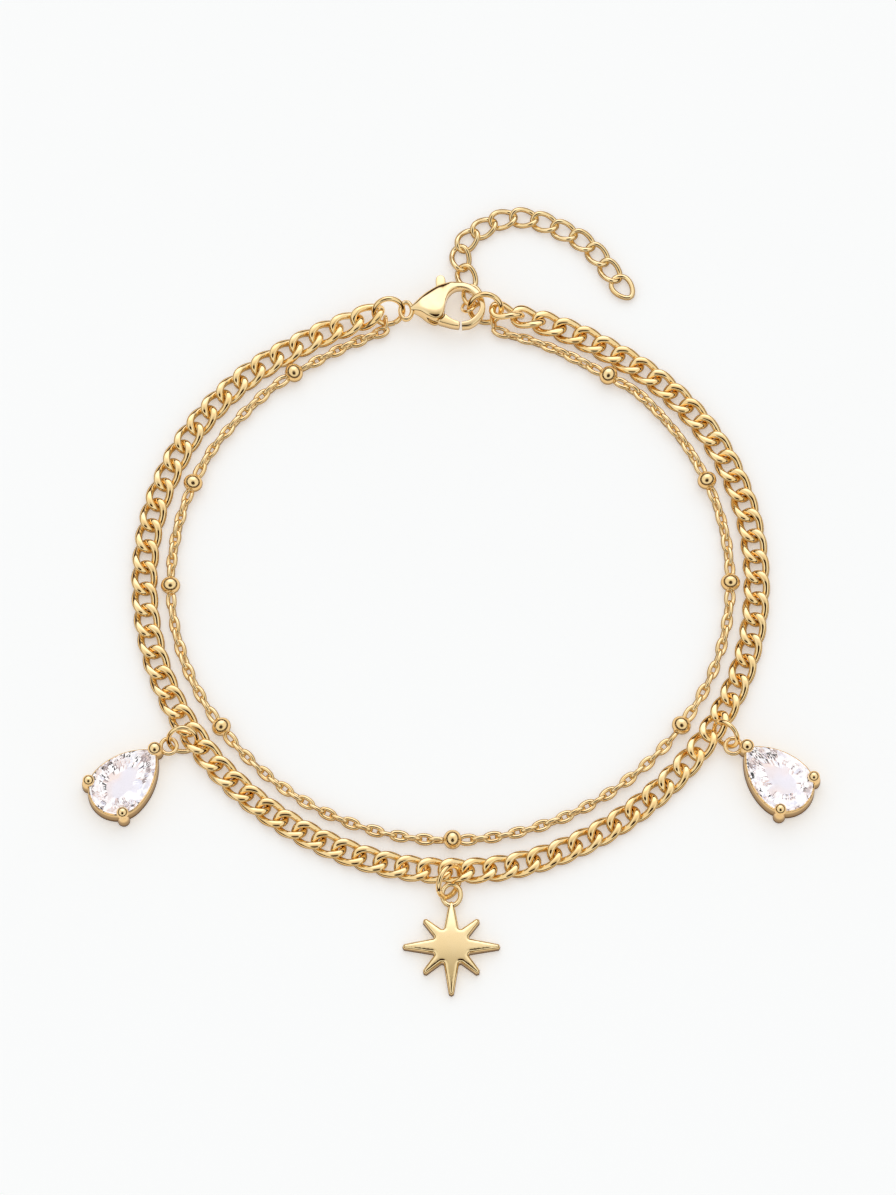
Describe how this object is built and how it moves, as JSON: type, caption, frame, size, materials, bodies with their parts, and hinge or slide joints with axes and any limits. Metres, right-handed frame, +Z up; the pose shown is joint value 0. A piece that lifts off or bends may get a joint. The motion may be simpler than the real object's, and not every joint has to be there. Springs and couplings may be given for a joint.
{
  "type": "layered bracelet",
  "caption": "Two-strand charm bracelet lying as a closed loop: a curb chain and a beaded cable chain on one lobster clasp, with a star charm, two pear-stone drops and an extender.",
  "frame": {"origin": "the middle of the lying bracelet's outline, on the surface that it lies on", "axes": "+X to the right of someone who looks at it with the clasp away from them, +Y towards the clasp and extender, +Z up out of the surface"},
  "size_m": [0.0727, 0.0824, 0.0033],
  "materials": {
    "curb_gold": "polished",
    "cable_gold": "polished",
    "extender_gold": "polished",
    "bead_gold": "polished",
    "ring_gold": "polished",
    "clasp_gold": "polished",
    "lever_gold": "polished",
    "star_gold": "polished",
    "setting_gold": "polished",
    "clear_stone": "faceted, polished"
  },
  "bodies": {
    "bracelet": {"curb_chain_1": "curb_gold", "curb_chain_2": "curb_gold", "curb_chain_3": "curb_gold", "curb_chain_4": "curb_gold", "curb_link_left_end": "curb_gold", "curb_link_left_drop": "curb_gold", "curb_link_star": "curb_gold", "curb_link_right_drop": "curb_gold", "curb_link_right_end": "curb_gold", "satellite_chain_01": "cable_gold", "satellite_chain_02": "cable_gold", "satellite_chain_03": "cable_gold", "satellite_chain_04": "cable_gold", "satellite_chain_05": "cable_gold", "satellite_chain_06": "cable_gold", "satellite_chain_07": "cable_gold", "satellite_chain_08": "cable_gold", "satellite_chain_09": "cable_gold", "satellite_chain_10": "cable_gold", "satellite_end_link_left": "cable_gold", "satellite_end_link_right": "cable_gold", "satellite_bead_1": "bead_gold", "satellite_bead_2": "bead_gold", "satellite_bead_3": "bead_gold", "satellite_bead_4": "bead_gold", "satellite_bead_5": "bead_gold", "satellite_bead_6": "bead_gold", "satellite_bead_7": "bead_gold", "satellite_bead_8": "bead_gold", "satellite_bead_9": "bead_gold", "extender_chain": "extender_gold", "extender_end_link": "extender_gold", "extender_link_13": "extender_gold", "extender_link_14": "extender_gold", "jump_ring_left": "ring_gold", "jump_ring_right": "ring_gold", "star_jump_ring": "ring_gold", "drop_left_ring": "ring_gold", "drop_right_ring": "ring_gold", "clasp_body": "clasp_gold", "star_charm": "star_gold", "drop_left_setting": "setting_gold", "drop_right_setting": "setting_gold", "drop_left_stone": "clear_stone", "drop_right_stone": "clear_stone"},
    "lever": {"clasp_lever": "lever_gold"}
  },
  "joints": [
    {"name": "clasp_lever_pivot", "type": "hinge", "parent": "bracelet", "child": "lever", "pos_m": [-0.00153, 0.02969, 0.00172], "axis": [0, 0, 1], "range_deg": [0, 20], "stiffness_Nm_per_rad": 0.001}
  ]
}
